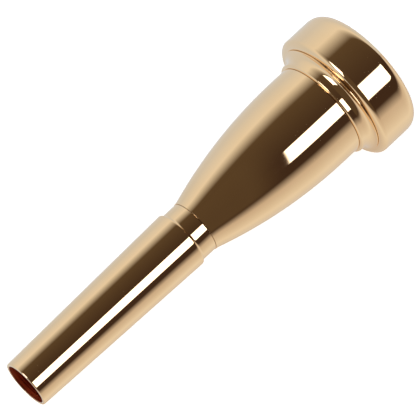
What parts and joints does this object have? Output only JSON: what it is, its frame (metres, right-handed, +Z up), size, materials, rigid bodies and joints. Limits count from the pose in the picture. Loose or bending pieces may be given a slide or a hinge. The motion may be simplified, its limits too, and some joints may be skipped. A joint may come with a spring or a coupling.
{
  "type": "brass instrument mouthpiece",
  "caption": "Heavy-bodied trumpet mouthpiece with a tapered shank, a long curved jacketed body, and a wide band-shaped rim that unscrews from its cup.",
  "frame": {"origin": "on the bore axis, half way between the shank tip and the high point of the rim", "axes": "+X along the bore axis from the shank tip to the rim, with the mouthpiece lying down; +Z up"},
  "size_m": [0.0878, 0.027, 0.027],
  "materials": {
    "gold_plate": "mirror-polished gold plate over brass, a pale warm pinkish gold",
    "seal_rubber": "matt black nitrile rubber"
  },
  "bodies": {
    "shank": {"backbore_shank": "gold_plate"},
    "shank_seal": {"shank_o_ring": "seal_rubber"},
    "cup_body": {"cup": "gold_plate", "body_jacket": "gold_plate"},
    "rim_seal": {"rim_o_ring": "seal_rubber"},
    "rim": {"rim_ring": "gold_plate"}
  },
  "joints": [
    {"name": "cup_travel", "type": "slide", "parent": "shank", "child": "shank_seal", "axis": [1, 0, 0], "range_m": [0, 0.003]},
    {"name": "cup_unscrew", "type": "hinge", "parent": "shank_seal", "child": "cup_body", "pos_m": [0, 0, 0], "axis": [1, 0, 0], "range_deg": [0, 1080]},
    {"name": "rim_travel", "type": "slide", "parent": "cup_body", "child": "rim_seal", "axis": [1, 0, 0], "range_m": [0, 0.00255]},
    {"name": "rim_unscrew", "type": "hinge", "parent": "rim_seal", "child": "rim", "pos_m": [0.04, 0, 0], "axis": [1, 0, 0], "range_deg": [0, 1080]}
  ],
  "couplings": [
    {"joint": "cup_unscrew", "follows": "cup_travel", "rad_per_m": 6283.2},
    {"joint": "rim_unscrew", "follows": "rim_travel", "rad_per_m": 7392}
  ]
}
